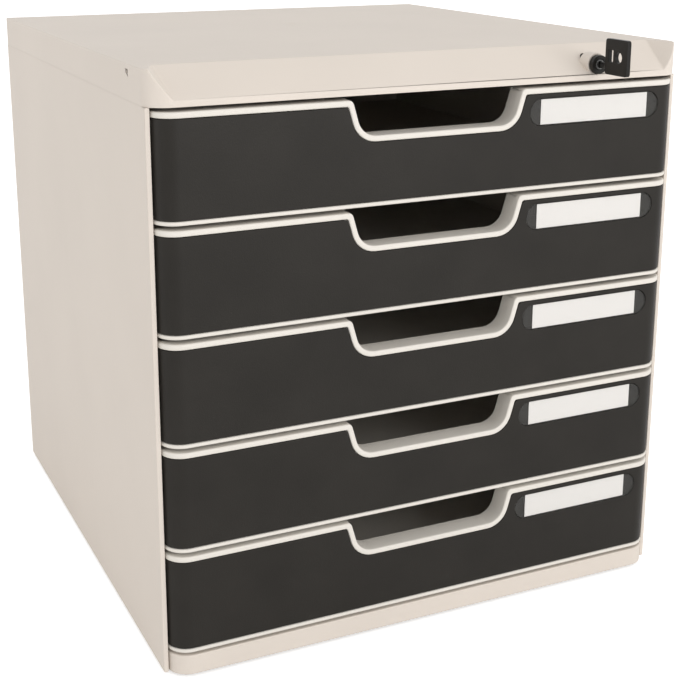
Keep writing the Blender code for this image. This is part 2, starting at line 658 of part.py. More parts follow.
def cover_mesh():
    mesh = cover_block_mesh()
    hollow = cover_hollow_mesh()
    boss_low_x = LOCK_X - LOCK_BOSS_WIDTH / 2
    boss = boxes("lock_boss", [((boss_low_x, -CUT_OVERRUN, COVER_Z - 2 * CUT_OVERRUN),
                                (boss_low_x + LOCK_BOSS_WIDTH, LOCK_BOSS_DEPTH, COVER_TOP_Z))])
    mesh = cut(mesh, cut(hollow, boss))
    collar_front_y = LOCK_FACE_SETBACK + LOCK_FLANGE_LENGTH
    collar = prism("lock_collar", circle((LOCK_X, LOCK_Z), LOCK_FLANGE_RADIUS + LOCK_COLLAR_WALL, LOCK_STEPS),
                   collar_front_y, LOCK_COLLAR_DEPTH, "Y")
    mesh = joined(mesh, collar)
    seat_y = LOCK_FACE_SETBACK + LOCK_FLANGE_LENGTH + FIT_GAP
    axis = (LOCK_X, LOCK_Z)
    seat = prism("seat", circle(axis, LOCK_FLANGE_RADIUS + FIT_GAP, LOCK_STEPS), -CUT_OVERRUN, seat_y, "Y")
    bore = prism("bore", circle(axis, LOCK_BARREL_RADIUS + FIT_GAP, LOCK_STEPS), 0,
                 LOCK_BOSS_DEPTH + CUT_OVERRUN, "Y")
    mesh = cut(mesh, seat, bore)
    hole_place = (PIN_HOLE_SETBACK, COVER_TOP_Z - PIN_HOLE_DROP)
    outline = circle(hole_place, PIN_HOLE_RADIUS, PIN_HOLE_STEPS)
    for side in (-1, 1):
        low, high = sorted((side * (HALF_WIDTH + CUT_OVERRUN), side * (HALF_WIDTH - WALL - CUT_OVERRUN)))
        mesh = cut(mesh, prism("pin_hole", outline, low, high, "X"))
    return mesh


def add_cabinet(cabinet, looks):
    whole = [(RUNNER_FRONT_Y, RUNNER_REAR_Y)]
    with_channel = [(RUNNER_FRONT_Y, BAR_Y - FIT_GAP), (BAR_REAR_Y + FIT_GAP, RUNNER_REAR_Y)]
    add_object("base_panel", base_mesh(), looks["shell"], cabinet)
    add_object("left_side_panel", side_panel_mesh(-1, whole), looks["shell"], cabinet)
    add_object("right_side_panel", side_panel_mesh(1, with_channel), looks["shell"], cabinet)
    half = PANEL_INNER_X - FIT_GAP
    back = boxes("back", [((-half, BACK_INNER_Y, FOOT_STANDOFF), (half, DEPTH, PANEL_TOP_Z))])
    add_object("back_panel", back, looks["shell"], cabinet)
    add_object("top_cover", cover_mesh(), looks["shell"], cabinet)
    foot = foot_mesh()
    names = ("front_left", "front_right", "rear_left", "rear_right")
    for name, (x, y) in zip(names, foot_places()):
        item = add_object(f"foot_{name}", foot, looks["rubber"], cabinet)
        item.location = (x, y, 0)


def lock_barrel_mesh():
    end = LOCK_BARREL_LENGTH
    profile = [(LOCK_BORE_RADIUS, 0), (LOCK_FLANGE_RADIUS, 0), (LOCK_FLANGE_RADIUS, LOCK_FLANGE_LENGTH),
               (LOCK_BARREL_RADIUS, LOCK_FLANGE_LENGTH), (LOCK_BARREL_RADIUS, end), (LOCK_BORE_RADIUS, end)]
    return turned("lock_barrel", [(radius, y + LOCK_FACE_SETBACK) for radius, y in profile], LOCK_STEPS)


def lock_core_mesh():
    mesh = turned("lock_core", [(0, LOCK_FACE_SETBACK), (LOCK_CORE_RADIUS, LOCK_FACE_SETBACK),
                                (LOCK_CORE_RADIUS, LOCK_CORE_END_Y), (0, LOCK_CORE_END_Y)], LOCK_STEPS)
    half_x = KEY_BLADE_THICKNESS / 2 + FIT_GAP
    half_z = KEY_BLADE_HEIGHT / 2 + FIT_GAP
    keyway = boxes("keyway", [((-half_x, -CUT_OVERRUN, -half_z),
                               (half_x, LOCK_FACE_SETBACK + KEY_BLADE_DEPTH + FIT_GAP, half_z))])
    screw_hole = prism("screw_hole", circle((0, 0), CAM_SCREW_SHANK_RADIUS + FIT_GAP, CAM_STEPS),
                       LOCK_CORE_END_Y - CAM_SCREW_SHANK_DEPTH - FIT_GAP, LOCK_CORE_END_Y + CUT_OVERRUN, "Y")
    return cut(mesh, keyway, screw_hole)


def lock_nut_mesh():
    low = LOCK_BOSS_DEPTH + FIT_GAP
    corner_radius = LOCK_NUT_FLAT_RADIUS / math.cos(math.pi / LOCK_NUT_SIDES)
    mesh = prism("lock_nut", circle((0, 0), corner_radius, LOCK_NUT_SIDES), low, low + LOCK_NUT_LENGTH, "Y")
    bore = prism("nut_bore", circle((0, 0), LOCK_BARREL_RADIUS + FIT_GAP, LOCK_STEPS), low - CUT_OVERRUN,
                 low + LOCK_NUT_LENGTH + CUT_OVERRUN, "Y")
    return cut(mesh, bore)


def cam_pin_place():
    return CAM_RADIUS * math.cos(CAM_REST_ANGLE), CAM_RADIUS * math.sin(CAM_REST_ANGLE)


def lock_cam_mesh():
    pin = cam_pin_place()
    angle = CAM_REST_ANGLE
    half_turn = math.pi / 2
    outline = arc((0, 0), CAM_HUB_RADIUS, angle + half_turn, angle + 3 * half_turn, CAM_STEPS // 2)
    outline += arc(pin, CAM_PIN_RADIUS + CAM_RIM, angle - half_turn, angle + half_turn, CAM_STEPS // 2)
    mesh = prism("lock_cam", outline, CAM_Y, CAM_REAR_Y, "Y")
    hole = prism("cam_hole", circle((0, 0), CAM_SCREW_SHANK_RADIUS + FIT_GAP, CAM_STEPS), CAM_Y - CUT_OVERRUN,
                 CAM_REAR_Y + CUT_OVERRUN, "Y")
    crank_pin = prism("crank_pin", circle(pin, CAM_PIN_RADIUS, CAM_STEPS), CAM_Y + CAM_THICKNESS / 2,
                      CAM_REAR_Y + CAM_PIN_REACH, "Y")
    return joined(cut(mesh, hole), crank_pin)


def cam_screw_mesh():
    head_low = CAM_REAR_Y + FIT_GAP
    head_high = head_low + CAM_SCREW_HEAD_HEIGHT
    tip = LOCK_CORE_END_Y - CAM_SCREW_SHANK_DEPTH
    profile = [(0, tip), (CAM_SCREW_SHANK_RADIUS, tip), (CAM_SCREW_SHANK_RADIUS, head_low),
               (CAM_SCREW_HEAD_RADIUS, head_low), (CAM_SCREW_HEAD_RADIUS, head_high), (0, head_high)]
    return turned("cam_screw", profile, CAM_STEPS)


def key_blade_mesh():
    half_x = KEY_BLADE_THICKNESS / 2
    half_z = KEY_BLADE_HEIGHT / 2
    front = KEY_HEAD_REAR_Y - KEY_SEAT_DEPTH + FIT_GAP
    rear = LOCK_FACE_SETBACK + KEY_BLADE_DEPTH
    return boxes("key_blade", [((-half_x, front, -half_z), (half_x, rear, half_z))])


def key_head_mesh():
    front = KEY_HEAD_REAR_Y - KEY_HEAD_LENGTH
    corners = [(front, -KEY_HEAD_BELOW), (KEY_HEAD_REAR_Y, -KEY_HEAD_BELOW),
               (KEY_HEAD_REAR_Y, KEY_HEAD_ABOVE), (front, KEY_HEAD_ABOVE)]
    outline = []
    for index, corner in enumerate(corners):
        outline += rounded_corner(corner, corners[index - 1], corners[(index + 1) % len(corners)],
                                  KEY_HEAD_CORNER_RADIUS, KEY_HEAD_CORNER_STEPS)
    half = KEY_HEAD_THICKNESS / 2
    mesh = prism("key_head", outline, -half, half, "X")
    seat_x = KEY_BLADE_THICKNESS / 2 + FIT_GAP
    seat_z = KEY_BLADE_HEIGHT / 2 + FIT_GAP
    seat = boxes("blade_seat", [((-seat_x, KEY_HEAD_REAR_Y - KEY_SEAT_DEPTH, -seat_z),
                                 (seat_x, KEY_HEAD_REAR_Y + CUT_OVERRUN, seat_z))])
    slot_y = KEY_HEAD_REAR_Y - KEY_SLOT_SETBACK
    slot = boxes("head_slot", [((-half - CUT_OVERRUN, slot_y - KEY_SLOT_WIDTH, KEY_SLOT_LOW),
                                (half + CUT_OVERRUN, slot_y, KEY_SLOT_HIGH))])
    ring_centre = (KEY_HEAD_REAR_Y - KEY_RING_SETBACK, KEY_RING_RISE)
    ring = prism("ring_hole", circle(ring_centre, KEY_RING_RADIUS, KEY_RING_STEPS), -half - CUT_OVERRUN,
                 half + CUT_OVERRUN, "X")
    return cut(mesh, seat, slot, ring)


def lock_bar_mesh():
    """The bar, in the cabinet's own places: a strip with hooks, and an arm that reaches the cam."""
    pin_x, pin_z = cam_pin_place()
    low = FIRST_FRONT_Z + BAR_FOOT_RISE
    arm_low = LOCK_Z + pin_z - BAR_ARM_HEIGHT / 2
    arm_high = arm_low + BAR_ARM_HEIGHT
    slot_half_height = CAM_PIN_RADIUS + BAR_SLOT_PLAY
    slot_low_x = LOCK_X + pin_x - slot_half_height
    slot_high_x = LOCK_X + CAM_RADIUS + slot_half_height
    strip = boxes("strip", [((BAR_INNER_X, BAR_Y, low), (BAR_OUTER_X, BAR_REAR_Y, arm_high))])
    arm = boxes("arm", [((slot_low_x - BAR_SLOT_END_WALL, BAR_Y, arm_low),
                         (BAR_INNER_X + BAR_THICKNESS / 2, BAR_Y + BAR_THICKNESS, arm_high))])
    hooks = []
    for index in range(DRAWER_COUNT):
        high = FIRST_FRONT_Z + index * PITCH + HOOK_HIGH
        hooks.append(((TRAY_SIDE_X + HOOK_TRAY_GAP, BAR_Y + HOOK_SETBACK, high - HOOK_HEIGHT),
                      (BAR_INNER_X + BAR_THICKNESS / 2, HOOK_REAR_Y, high)))
    slot = boxes("pin_slot", [((slot_low_x, BAR_Y - CUT_OVERRUN, LOCK_Z + pin_z - slot_half_height),
                               (slot_high_x, BAR_Y + BAR_THICKNESS + CUT_OVERRUN,
                                LOCK_Z + pin_z + slot_half_height))])
    return cut(joined(strip, arm, boxes("hooks", hooks)), slot)


def bar_guide_mesh():
    """A bracket that holds the bar against the side panel, open towards the panel."""
    plate_outer = BAR_INNER_X - FIT_GAP
    plate_inner = plate_outer - GUIDE_PLATE
    front = BAR_Y - FIT_GAP - GUIDE_LEG
    rear = BAR_REAR_Y + FIT_GAP + GUIDE_LEG
    leg_end = PANEL_INNER_X - FIT_GAP
    outline = [(plate_inner, front), (leg_end, front), (leg_end, front + GUIDE_LEG),
               (plate_outer, front + GUIDE_LEG), (plate_outer, rear - GUIDE_LEG), (leg_end, rear - GUIDE_LEG),
               (leg_end, rear), (plate_inner, rear)]
    return prism("bar_guide", outline, 0, GUIDE_HEIGHT, "Z")


def add_lock(cabinet, looks):
    lock_axis = (LOCK_X, 0, LOCK_Z)
    for name, mesh, look in (("lock_barrel", lock_barrel_mesh(), looks["black"]),
                             ("lock_nut", lock_nut_mesh(), looks["steel"])):
        add_object(name, mesh, look, cabinet).location = lock_axis
    turn = bpy.data.objects.new("key_turn_axis", None)
    bpy.context.scene.collection.objects.link(turn)
    turn.parent = cabinet
    turn.location = lock_axis
    for name, mesh, look in (("lock_core", lock_core_mesh(), looks["steel"]),
                             ("lock_cam", lock_cam_mesh(), looks["steel"]),
                             ("cam_screw", cam_screw_mesh(), looks["steel"]),
                             ("key_blade", key_blade_mesh(), looks["steel"]),
                             ("key_head", key_head_mesh(), looks["black"])):
        add_object(name, mesh, look, turn)
    add_object("lock_bar", lock_bar_mesh(), looks["steel"], cabinet)
    guide = bar_guide_mesh()
    for name, front_z in (("upper", TOP_FRONT_Z), ("lower", FIRST_FRONT_Z)):
        add_object(f"bar_guide_{name}", guide, looks["shell"], cabinet).location.z = front_z + GUIDE_RISE


def main():
    clear_scene()
    looks = {
        "shell": material("shell_plastic", (0.62, 0.58, 0.52), 0.45),
        "black": material("black_plastic", (0.03, 0.028, 0.026), 0.4),
        "clear": material("clear_plastic", (0.9, 0.9, 0.9), 0.1, alpha=0.3),
        "card": material("card_paper", (0.9, 0.89, 0.86), 0.8),
        "steel": material("plated_steel", (0.6, 0.6, 0.6), 0.3, metallic=1.0),
        "rubber": material("foot_rubber", (0.05, 0.05, 0.05), 0.8),
    }
    cabinet = bpy.data.objects.new("cabinet", None)
    bpy.context.scene.collection.objects.link(cabinet)
    cabinet.location.y = FRONT_PLANE_Y
    add_cabinet(cabinet, looks)
    add_drawers(cabinet, looks)
    add_lock(cabinet, looks)


main()
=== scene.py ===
import math

import bmesh
import bpy
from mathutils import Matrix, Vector


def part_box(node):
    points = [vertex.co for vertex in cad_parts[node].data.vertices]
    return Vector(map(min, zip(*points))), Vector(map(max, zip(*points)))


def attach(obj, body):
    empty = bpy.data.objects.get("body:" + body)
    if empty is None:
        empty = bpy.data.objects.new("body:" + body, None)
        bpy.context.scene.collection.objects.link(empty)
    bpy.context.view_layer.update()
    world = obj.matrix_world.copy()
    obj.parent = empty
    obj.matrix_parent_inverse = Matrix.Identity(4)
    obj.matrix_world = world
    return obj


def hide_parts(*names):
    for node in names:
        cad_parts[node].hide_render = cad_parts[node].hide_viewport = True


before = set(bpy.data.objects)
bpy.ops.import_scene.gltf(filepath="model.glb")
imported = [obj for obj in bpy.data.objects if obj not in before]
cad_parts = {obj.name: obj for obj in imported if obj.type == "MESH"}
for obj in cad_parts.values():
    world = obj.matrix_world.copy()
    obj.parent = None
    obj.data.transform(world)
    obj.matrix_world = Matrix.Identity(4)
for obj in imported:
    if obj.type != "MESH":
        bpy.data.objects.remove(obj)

bl_info = {
    "name": "Desktop Drawer Cabinet",
    "version": (1, 0, 0),
    "blender": (4, 5, 0),
    "location": "View3D > Sidebar > Drawer Cabinet",
    "description": "Finishes the moulded shell, drawers, labels, lock and key of a desktop drawer cabinet",
    "category": "Object",
}

DRAWERS = 5
FRONT_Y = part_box("tray_1")[0].y
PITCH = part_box("tray_1")[0].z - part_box("tray_2")[0].z
MERGE_DISTANCE = 2e-6
NEAR = 1e-4
FLAT_ANGLE = math.radians(0.6)
SHARP_ANGLE = math.radians(25)
CARD_EDGE = 0.00004
STRIP_EDGE = 0.00015
RIM_LEVEL = 0.00001
SEAM_DROP = 0.0002
FRONT_BEND = 0.0121
PANEL_REACH = 0.004
PIN_HOLE_SETBACK = 0.036
PIN_HOLE_DROP = 0.004
PIN_HOLE_REACH = 0.0025
HOLE_EDGE_LENGTH = 0.001
MARK_X = 0.0036
MARK_SETBACK = 0.212
MARK_STEPS = 40
FLOOR_SIZE = 6
CAMERA_X, CAMERA_DISTANCE, CAMERA_Z = -0.3411, 0.6013, 0.4056
CAMERA_AZIMUTH, CAMERA_ELEVATION = 0.4312, -0.2544
CAMERA_SHIFT_X, CAMERA_SHIFT_Y = 0.0143, -0.1391
FRONT_LIGHT_PLACE, FRONT_LIGHT_AIM, FRONT_LIGHT_SIZE = (0.65, -2.3, 0.8), (0, 0, 0.18), 1.4
SIDE_LIGHT_PLACE, SIDE_LIGHT_AIM, SIDE_LIGHT_SIZE = (-2.2, 0.25, 0.35), (0, 0, 0.16), 1.2


class CabinetSizes(bpy.types.PropertyGroup):
    shell_edge: bpy.props.FloatProperty(
        name="Shell edge", description="Edge radius of the moulded shell and cover", default=0.0007,
        min=0, unit="LENGTH")
    rim_edge: bpy.props.FloatProperty(
        name="Rim edge", description="Edge radius of the light rims and notch lips", default=0.0009,
        min=0, unit="LENGTH")
    small_edge: bpy.props.FloatProperty(
        name="Small edge", description="Edge radius inside the trays and on the runners", default=0.00035,
        min=0, unit="LENGTH")
    rear_corner: bpy.props.FloatProperty(
        name="Rear corner", description="Radius of the upright corners at the back", default=0.0022,
        min=0, unit="LENGTH")
    seam_edge: bpy.props.FloatProperty(
        name="Seam edge", description="Edge radius of the cover along its lower front edge and round the lock",
        default=0.00018, min=0, unit="LENGTH")
    front_edge: bpy.props.FloatProperty(
        name="Front edge", description="Edge radius of the black front panels", default=0.0004,
        min=0, unit="LENGTH")
    lock_edge: bpy.props.FloatProperty(
        name="Lock edge", description="Edge radius of the lock, its bar and the key", default=0.00025,
        min=0, unit="LENGTH")
    gate_mark: bpy.props.FloatProperty(
        name="Gate mark", description="Radius of the round moulding mark on the cover", default=0.0043,
        min=0, unit="LENGTH")
    tread_spacing: bpy.props.FloatProperty(
        name="Tread spacing", description="Distance between the rings under each foot", default=0.0014,
        min=0, unit="LENGTH")
    tread_radius: bpy.props.FloatProperty(
        name="Tread radius", description="Radius of the round rings under each foot", default=0.00035,
        min=0, unit="LENGTH")


class CabinetColours(bpy.types.PropertyGroup):
    shell: bpy.props.FloatVectorProperty(
        name="Shell", description="Colour of the beige shell and cover", subtype="COLOR",
        default=(0.68, 0.612, 0.545), min=0, max=1)
    tray: bpy.props.FloatVectorProperty(
        name="Trays", description="Colour of the trays with their rims", subtype="COLOR",
        default=(0.72, 0.68, 0.62), min=0, max=1)
    front: bpy.props.FloatVectorProperty(
        name="Fronts", description="Colour of the black front panels", subtype="COLOR",
        default=(0.024, 0.0215, 0.0185), min=0, max=1)
    card: bpy.props.FloatVectorProperty(
        name="Label card", description="Colour of the label cards", subtype="COLOR",
        default=(0.8, 0.77, 0.735), min=0, max=1)
    steel: bpy.props.FloatVectorProperty(
        name="Steel", description="Colour of the plated steel parts", subtype="COLOR",
        default=(0.6, 0.59, 0.57), min=0, max=1)
    rubber: bpy.props.FloatVectorProperty(
        name="Rubber", description="Colour of the feet", subtype="COLOR",
        default=(0.03, 0.03, 0.03), min=0, max=1)


class CabinetStage(bpy.types.PropertyGroup):
    lens: bpy.props.FloatProperty(
        name="Lens", description="Focal length for a 36 mm sensor", default=69.25, min=1)
    ambient: bpy.props.FloatProperty(
        name="Ambient", description="Strength of the light from all round", default=0.86, min=0)
    front_light: bpy.props.FloatProperty(
        name="Front light", description="Power of the large light in front", default=23.0, min=0, unit="POWER")
    side_light: bpy.props.FloatProperty(
        name="Side light", description="Power of the light at the left side", default=7.0, min=0, unit="POWER")


def merge_flat_faces(shape):
    """Joins the loose triangles of a solid into flat faces, and parts those with many corners again."""
    bmesh.ops.remove_doubles(shape, verts=shape.verts, dist=MERGE_DISTANCE)
    bmesh.ops.dissolve_limit(shape, angle_limit=FLAT_ANGLE, use_dissolve_boundaries=False,
                             verts=shape.verts, edges=shape.edges)
    bmesh.ops.triangulate(shape, faces=[face for face in shape.faces if len(face.verts) > 4])


def applied(obj):
    """The object with its modifiers made part of its mesh."""
    bpy.context.view_layer.update()
    evaluated = obj.evaluated_get(bpy.context.evaluated_depsgraph_get())
    mesh = bpy.data.meshes.new_from_object(evaluated)
    mesh.name = obj.name
    obj.modifiers.clear()
    obj.data = mesh
    return obj


def add_piece(name, mesh, material):
    piece = bpy.data.objects.new(name, mesh)
    bpy.context.scene.collection.objects.link(piece)
    mesh.materials.clear()
    mesh.materials.append(material)
    return piece


def softened(node, name, material, width, segments=2, widths=None, cuts=()):
    """A piece in the shape of a node, with its edges rounded.

    widths gives an edge its own radius. cuts are planes that part large flat faces before the rounding.
    """
    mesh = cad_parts[node].data.copy()
    shape = bmesh.new()
    shape.from_mesh(mesh)
    merge_flat_faces(shape)
    for place, normal in cuts:
        geometry = shape.verts[:] + shape.edges[:] + shape.faces[:]
        bmesh.ops.bisect_plane(shape, geom=geometry, dist=MERGE_DISTANCE, plane_co=place, plane_no=normal)
    largest = width
    if widths is not None:
        radii = [widths(edge) for edge in shape.edges]
        largest = max(largest, max(radii))
    layer = shape.edges.layers.float.new("bevel_weight_edge")
    for index, edge in enumerate(shape.edges):
        if edge.calc_face_angle(0) > SHARP_ANGLE:
            radius = width if widths is None else radii[index]
            edge[layer] = radius / largest
            edge.smooth = radius > 0
    shape.to_mesh(mesh)
    shape.free()
    mesh.shade_smooth()
    piece = add_piece(name, mesh, material)
    bevel = piece.modifiers.new("edges", "BEVEL")
    bevel.width = largest
    bevel.segments = segments
    bevel.limit_method = "WEIGHT"
    bevel.use_clamp_overlap = False
    bevel.loop_slide = False
    bevel.miter_outer = "MITER_ARC"
    normals = piece.modifiers.new("normals", "WEIGHTED_NORMAL")
    normals.keep_sharp = True
    return applied(piece)


def new_tree(name):
    """An empty Geometry Nodes tree with a geometry input and output."""
    tree = bpy.data.node_groups.new(name, "GeometryNodeTree")
    tree.interface.new_socket("Geometry", in_out="INPUT", socket_type="NodeSocketGeometry")
    tree.interface.new_socket("Geometry", in_out="OUTPUT", socket_type="NodeSocketGeometry")
    return tree, tree.nodes.new("NodeGroupInput"), tree.nodes.new("NodeGroupOutput")


def add_input(tree, name, kind, value=None):
    socket = tree.interface.new_socket(name, in_out="INPUT", socket_type=kind)
    if value is not None:
        socket.default_value = value


def grown(piece, tree, values):
    """The piece after a Geometry Nodes tree, whose named inputs are set by their identifiers."""
    modifier = piece.modifiers.new(tree.name, "NODES")
    modifier.node_group = tree
    for item in tree.interface.items_tree:
        if item.item_type == "SOCKET" and item.in_out == "INPUT" and item.name in values:
            modifier[item.identifier] = values[item.name]
    return applied(piece)


def drawer_stack_tree():
    """One drawer's copy of a piece in the stack: the piece is repeated downwards and one place is kept."""
    tree, given, result = new_tree("drawer_stack")
    add_input(tree, "Drawers", "NodeSocketInt", DRAWERS)
    add_input(tree, "Pitch", "NodeSocketFloat", PITCH)
    add_input(tree, "Place", "NodeSocketInt", 0)
    add_input(tree, "Finish", "NodeSocketMaterial")
    nodes, links = tree.nodes, tree.links
    line = nodes.new("GeometryNodeMeshLine")
    drop = nodes.new("ShaderNodeMath")
    drop.operation = "MULTIPLY"
    drop.inputs[1].default_value = -1
    step = nodes.new("ShaderNodeCombineXYZ")
    index = nodes.new("GeometryNodeInputIndex")
    chosen = nodes.new("FunctionNodeCompare")
    chosen.data_type = "INT"
    chosen.operation = "EQUAL"
    copies = nodes.new("GeometryNodeInstanceOnPoints")
    real = nodes.new("GeometryNodeRealizeInstances")
    finish_node = nodes.new("GeometryNodeSetMaterial")
    links.new(given.outputs["Drawers"], line.inputs["Count"])
    links.new(given.outputs["Pitch"], drop.inputs[0])
    links.new(drop.outputs["Value"], step.inputs["Z"])
    links.new(step.outputs["Vector"], line.inputs["Offset"])
    links.new(index.outputs["Index"], [item for item in chosen.inputs if item.enabled][0])
    links.new(given.outputs["Place"], [item for item in chosen.inputs if item.enabled][1])
    links.new(line.outputs["Mesh"], copies.inputs["Points"])
    links.new(chosen.outputs["Result"], copies.inputs["Selection"])
    links.new(given.outputs["Geometry"], copies.inputs["Instance"])
    links.new(copies.outputs["Instances"], real.inputs["Geometry"])
    links.new(real.outputs["Geometry"], finish_node.inputs["Geometry"])
    links.new(given.outputs["Finish"], finish_node.inputs["Material"])
    links.new(finish_node.outputs["Geometry"], result.inputs["Geometry"])
    return tree


def stacked(first, name, index, material):
    """The piece of drawer 1, repeated at the place of another drawer."""
    tree = bpy.data.node_groups.get("drawer_stack") or drawer_stack_tree()
    piece = bpy.data.objects.new(name, first.data.copy())
    bpy.context.scene.collection.objects.link(piece)
    return grown(piece, tree, {"Drawers": DRAWERS, "Pitch": PITCH, "Place": index - 1, "Finish": material})


def foot_tread_tree():
    """Round rings of growing radius about the Z axis, added under the pad of a foot."""
    tree, given, result = new_tree("foot_tread")
    add_input(tree, "Rings", "NodeSocketInt", 4)
    add_input(tree, "Spacing", "NodeSocketFloat")
    add_input(tree, "Ring Radius", "NodeSocketFloat")
    add_input(tree, "Centre", "NodeSocketVector")
    add_input(tree, "Finish", "NodeSocketMaterial")
    nodes, links = tree.nodes, tree.links
    line = nodes.new("GeometryNodeMeshLine")
    line.inputs["Offset"].default_value = (0, 0, 0)
    path = nodes.new("GeometryNodeCurvePrimitiveCircle")
    path.inputs["Resolution"].default_value = 32
    path.inputs["Radius"].default_value = 1
    index = nodes.new("GeometryNodeInputIndex")
    order = nodes.new("ShaderNodeMath")
    order.operation = "ADD"
    order.inputs[1].default_value = 1
    reach = nodes.new("ShaderNodeMath")
    reach.operation = "MULTIPLY"
    size = nodes.new("ShaderNodeCombineXYZ")
    size.inputs["Z"].default_value = 1
    rings = nodes.new("GeometryNodeInstanceOnPoints")
    real = nodes.new("GeometryNodeRealizeInstances")
    section = nodes.new("GeometryNodeCurvePrimitiveCircle")
    section.inputs["Resolution"].default_value = 8
    sweep = nodes.new("GeometryNodeCurveToMesh")
    both = nodes.new("GeometryNodeJoinGeometry")
    finish_node = nodes.new("GeometryNodeSetMaterial")
    links.new(given.outputs["Rings"], line.inputs["Count"])
    links.new(given.outputs["Centre"], line.inputs["Start Location"])
    links.new(index.outputs["Index"], order.inputs[0])
    links.new(order.outputs["Value"], reach.inputs[0])
    links.new(given.outputs["Spacing"], reach.inputs[1])
    links.new(reach.outputs["Value"], size.inputs["X"])
    links.new(reach.outputs["Value"], size.inputs["Y"])
    links.new(line.outputs["Mesh"], rings.inputs["Points"])
    links.new(path.outputs["Curve"], rings.inputs["Instance"])
    links.new(size.outputs["Vector"], rings.inputs["Scale"])
    links.new(rings.outputs["Instances"], real.inputs["Geometry"])
    links.new(given.outputs["Ring Radius"], section.inputs["Radius"])
    links.new(real.outputs["Geometry"], sweep.inputs["Curve"])
    links.new(section.outputs["Curve"], sweep.inputs["Profile Curve"])
    links.new(given.outputs["Geometry"], both.inputs["Geometry"])
    links.new(sweep.outputs["Mesh"], both.inputs["Geometry"])
    links.new(both.outputs["Geometry"], finish_node.inputs["Geometry"])
    links.new(given.outputs["Finish"], finish_node.inputs["Material"])
    links.new(finish_node.outputs["Geometry"], result.inputs["Geometry"])
    return tree


def finish(piece, body, slot, *nodes):
    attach(piece, body)
    if nodes:
        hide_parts(*nodes)
    return piece


def finish_stack(first, kind, part, slot, material):
    """Finishes the piece of drawer 1 and makes the like pieces of the drawers below it."""
    copies = [stacked(first, f"{kind}_{index}_{part}", index, material) for index in range(2, DRAWERS + 1)]
    for index, piece in enumerate([first] + copies, 1):
        finish(piece, f"drawer_{index}", slot, f"{kind}_{index}")


def gate_mark(radius, centre, material):
    """A round mark that stands barely proud of the moulding, with a softened edge."""
    shape = bmesh.new()
    levels = ((radius, -0.0004), (radius, 0.00004), (radius * 0.94, 0.0001), (radius * 0.3, 0.00012))
    rings = []
    for reach, rise in levels:
        rings.append([shape.verts.new(centre + Vector((reach * math.cos(turn), reach * math.sin(turn), rise)))
                      for turn in (math.tau * step / MARK_STEPS for step in range(MARK_STEPS))])
    shape.faces.new(reversed(rings[0]))
    shape.faces.new(rings[-1])
    for lower, upper in zip(rings, rings[1:]):
        for step in range(MARK_STEPS):
            following = (step + 1) % MARK_STEPS
            shape.faces.new((lower[step], lower[following], upper[following], upper[step]))
    mesh = bpy.data.meshes.new("gate_mark")
    shape.to_mesh(mesh)
    shape.free()
    return add_piece("cover_gate_mark", mesh, material)


def new_material(name, colour, roughness):
    material = bpy.data.materials.new(name)
    material.use_nodes = True
    nodes = material.node_tree.nodes
    shader = nodes["Principled BSDF"]
    shader.inputs["Base Color"].default_value = (*colour, 1)
    shader.inputs["Roughness"].default_value = roughness
    return material, nodes, material.node_tree.links, shader


def add_noise(nodes, links, scale, detail=2.0, stretch=(1, 1, 1)):
    where = nodes.new("ShaderNodeTexCoord")
    mapping = nodes.new("ShaderNodeMapping")
    mapping.inputs["Scale"].default_value = stretch
    noise = nodes.new("ShaderNodeTexNoise")
    noise.inputs["Scale"].default_value = scale
    noise.inputs["Detail"].default_value = detail
    links.new(where.outputs["Object"], mapping.inputs["Vector"])
    links.new(mapping.outputs["Vector"], noise.inputs["Vector"])
    return noise


def tint(nodes, links, shader, noise, low, high):
    """Lets the base colour drift between two colours with a noise."""
    ramp = nodes.new("ShaderNodeValToRGB")
    ramp.color_ramp.elements[0].position = 0.3
    ramp.color_ramp.elements[1].position = 0.7
    ramp.color_ramp.elements[0].color = (*low, 1)
    ramp.color_ramp.elements[1].color = (*high, 1)
    links.new(noise.outputs["Fac"], ramp.inputs["Fac"])
    links.new(ramp.outputs["Color"], shader.inputs["Base Color"])


def vary_roughness(nodes, links, shader, noise, low, high):
    spread = nodes.new("ShaderNodeMapRange")
    spread.inputs["From Min"].default_value = 0.3
    spread.inputs["From Max"].default_value = 0.7
    spread.inputs["To Min"].default_value = low
    spread.inputs["To Max"].default_value = high
    links.new(noise.outputs["Fac"], spread.inputs["Value"])
    links.new(spread.outputs["Result"], shader.inputs["Roughness"])


def grain_bump(nodes, links, shader, noise, depth, strength):
    bump = nodes.new("ShaderNodeBump")
    bump.inputs["Distance"].default_value = depth
    bump.inputs["Strength"].default_value = strength
    links.new(noise.outputs["Fac"], bump.inputs["Height"])
    links.new(bump.outputs["Normal"], shader.inputs["Normal"])


def shade(colour, factor):
    return tuple(channel * factor for channel in colour)


def shell_plastic(colour, name="moulded_shell"):
    material, nodes, links, shader = new_material(name, colour, 0.45)
    shader.inputs["Specular IOR Level"].default_value = 0.12
    cloud = add_noise(nodes, links, 14, 3)
    grain = add_noise(nodes, links, 2200, 3)
    tint(nodes, links, shader, cloud, shade(colour, 0.985), shade(colour, 1.015))
    vary_roughness(nodes, links, shader, grain, 0.4, 0.52)
    grain_bump(nodes, links, shader, grain, 0.0002, 0.25)
    return material


def front_plastic(colour):
    material, nodes, links, shader = new_material("black_front", colour, 0.42)
    shader.inputs["Specular IOR Level"].default_value = 0.14
    cloud = add_noise(nodes, links, 30, 4)
    grain = add_noise(nodes, links, 1500, 4)
    tint(nodes, links, shader, cloud, shade(colour, 0.92), shade(colour, 1.1))
    vary_roughness(nodes, links, shader, grain, 0.36, 0.5)
    grain_bump(nodes, links, shader, grain, 0.0002, 0.4)
    return material


